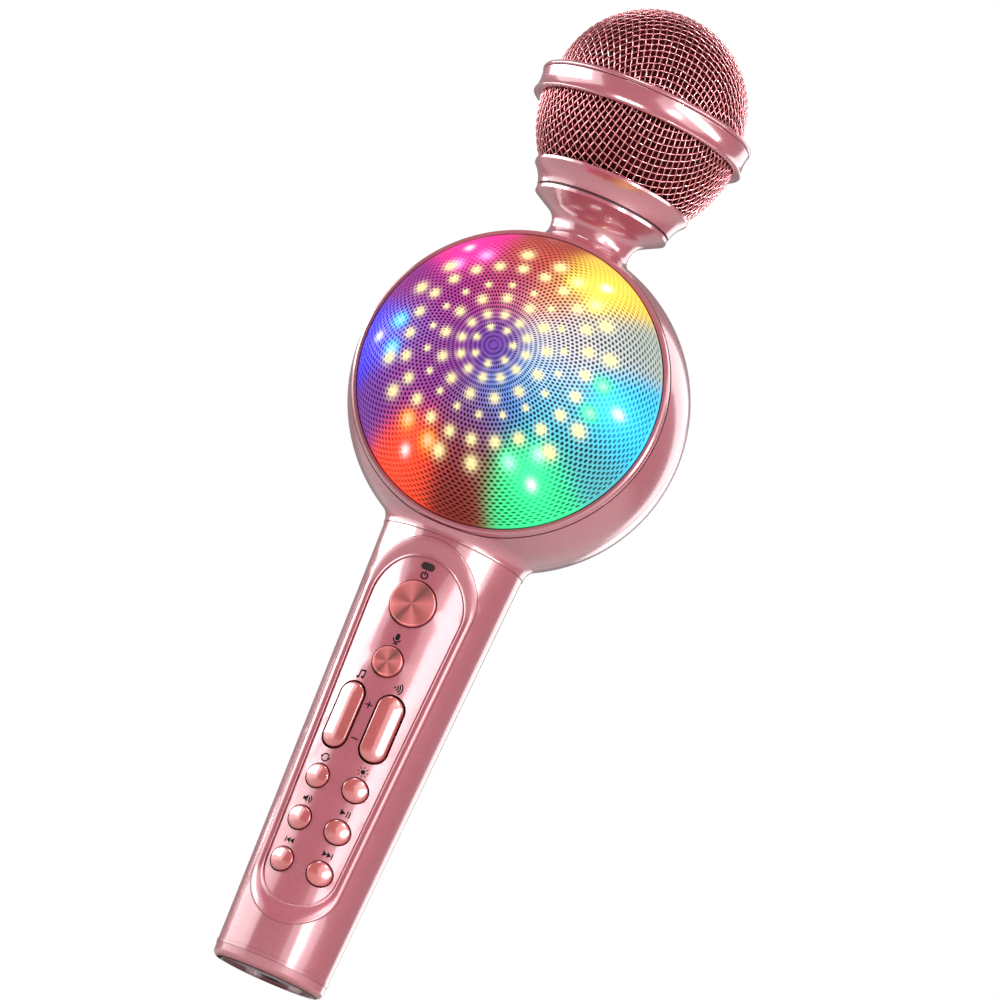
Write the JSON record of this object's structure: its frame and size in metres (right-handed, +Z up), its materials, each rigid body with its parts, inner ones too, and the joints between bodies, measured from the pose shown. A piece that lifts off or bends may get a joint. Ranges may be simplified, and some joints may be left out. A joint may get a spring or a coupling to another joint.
{
  "type": "karaoke microphone",
  "caption": "Handheld karaoke microphone with a ball loudspeaker at its waist, a domed light-up grille, a recessed key panel and a screw-off mesh head.",
  "frame": {"origin": "centre of the flat ring that the microphone stands on, at the foot of the handle", "axes": "+Z up the handle towards the microphone head, -Y out of the control panel and the loudspeaker, +X to the right seen from the front"},
  "size_m": [0.08, 0.0835, 0.2464],
  "materials": {
    "rose_metal": "gloss metallic lacquer",
    "rose_shell": "gloss metallic lacquer on moulded shells",
    "rose_panel": "satin metallic lacquer",
    "coral_key": "gloss",
    "copper_key": "radially spun",
    "dark_lens": "gloss, tinted",
    "rose_mesh": "woven wire, gloss lacquer",
    "lit_grille": "perforated, lit from behind in several colours",
    "carrier_black": "matte, so that only the lamps show through the grille",
    "lamp_white": "lit, warm white",
    "lamp_colour": "lit in several colours",
    "circuit_board": "solder mask",
    "black_plastic": "fine texture",
    "steel": "plated",
    "battery_wrap": "shrink film",
    "magnet": "sintered ferrite",
    "cone_paper": "pulp cone",
    "spider_cloth": "resin-set cloth",
    "rubber": "matte",
    "copper": "enamelled wire",
    "brass": "turned",
    "foam": "open-cell foam"
  },
  "bodies": {
    "root": {"audio_jack": "black_plastic", "ball_front_shell": "rose_shell", "ball_rear_shell": "rose_shell", "base_cap": "rose_shell", "base_trim_ring": "rose_metal", "battery_cell": "battery_wrap", "battery_cradle": "black_plastic", "battery_terminals": "steel", "board_chips": "black_plastic", "board_screws": "steel", "capsule_holder": "rubber", "charge_socket": "steel", "colour_lamps": "lamp_colour", "control_panel": "rose_panel", "grille_bezel": "rose_shell", "handle_collar": "black_plastic", "handle_tube": "rose_metal", "housing_screws": "steel", "indicator_lens": "dark_lens", "lamp_carrier": "carrier_black", "magnet_top_plate": "steel", "main_board": "circuit_board", "mic_capsule": "steel", "neck_thread_ring": "brass", "panel_frame": "rose_panel", "pole_plate": "steel", "rocker_bracket": "black_plastic", "rocker_pin": "steel", "socket_board": "circuit_board", "speaker_baffle": "black_plastic", "speaker_frame": "steel", "speaker_grille": "lit_grille", "speaker_magnet": "magnet", "speaker_screws": "steel", "speaker_spider": "spider_cloth", "speaker_surround": "rubber", "tact_switches": "black_plastic", "white_lamps": "lamp_white", "wiring_harness": "rubber"},
    "power_button": {"power_button": "copper_key"},
    "voice_button": {"voice_button": "copper_key"},
    "mode_button": {"mode_button": "coral_key"},
    "light_button": {"light_button": "coral_key"},
    "speaker_button": {"speaker_button": "coral_key"},
    "play_button": {"play_button": "coral_key"},
    "previous_button": {"previous_button": "coral_key"},
    "next_button": {"next_button": "coral_key"},
    "music_volume_rocker": {"music_volume_rocker": "coral_key"},
    "echo_volume_rocker": {"echo_volume_rocker": "coral_key"},
    "speaker_diaphragm": {"speaker_cone": "cone_paper", "dust_cap": "cone_paper", "voice_coil": "copper"},
    "head_seal": {"head_gasket": "rubber"},
    "grille_head": {"head_collar": "rose_metal", "lower_grille": "rose_mesh", "grille_band": "rose_metal", "band_trim_ring": "rose_metal", "upper_grille": "rose_mesh", "foam_windscreen": "foam"}
  },
  "joints": [
    {"name": "power_press", "type": "slide", "parent": "root", "child": "power_button", "axis": [0, 1, 0], "range_m": [0, 0.0006], "stiffness_N_per_m": 700},
    {"name": "voice_press", "type": "slide", "parent": "root", "child": "voice_button", "axis": [0, 1, 0], "range_m": [0, 0.0006], "stiffness_N_per_m": 700},
    {"name": "mode_press", "type": "slide", "parent": "root", "child": "mode_button", "axis": [0, 1, 0], "range_m": [0, 0.0006], "stiffness_N_per_m": 700},
    {"name": "light_press", "type": "slide", "parent": "root", "child": "light_button", "axis": [0, 1, 0], "range_m": [0, 0.0006], "stiffness_N_per_m": 700},
    {"name": "speaker_press", "type": "slide", "parent": "root", "child": "speaker_button", "axis": [0, 1, 0], "range_m": [0, 0.0006], "stiffness_N_per_m": 700},
    {"name": "play_press", "type": "slide", "parent": "root", "child": "play_button", "axis": [0, 1, 0], "range_m": [0, 0.0006], "stiffness_N_per_m": 700},
    {"name": "previous_press", "type": "slide", "parent": "root", "child": "previous_button", "axis": [0, 1, 0], "range_m": [0, 0.0006], "stiffness_N_per_m": 700},
    {"name": "next_press", "type": "slide", "parent": "root", "child": "next_button", "axis": [0, 1, 0], "range_m": [0, 0.0006], "stiffness_N_per_m": 700},
    {"name": "music_volume_rock", "type": "hinge", "parent": "root", "child": "music_volume_rocker", "pos_m": [-0.00485, -0.0099, 0.0615], "axis": [1, 0, 0], "range_deg": [-2.5, 2.5], "stiffness_Nm_per_rad": 0.3},
    {"name": "echo_volume_rock", "type": "hinge", "parent": "root", "child": "echo_volume_rocker", "pos_m": [0.00485, -0.0099, 0.0615], "axis": [1, 0, 0], "range_deg": [-2.5, 2.5], "stiffness_Nm_per_rad": 0.3},
    {"name": "cone_excursion", "type": "slide", "parent": "root", "child": "speaker_diaphragm", "axis": [0, -0.9983, 0.0576], "range_m": [-0.0015, 0.0015], "stiffness_N_per_m": 1500, "deforming": ["speaker_surround", "speaker_spider"]},
    {"name": "head_rise", "type": "slide", "parent": "root", "child": "head_seal", "axis": [0, 0, 1], "range_m": [0, 0.003]},
    {"name": "head_unscrew", "type": "hinge", "parent": "head_seal", "child": "grille_head", "pos_m": [0, 0, 0.2], "axis": [0, 0, 1], "range_deg": [0, 720]}
  ],
  "couplings": [
    {"joint": "head_rise", "follows": "head_unscrew", "m_per_rad": 0.00023869}
  ]
}
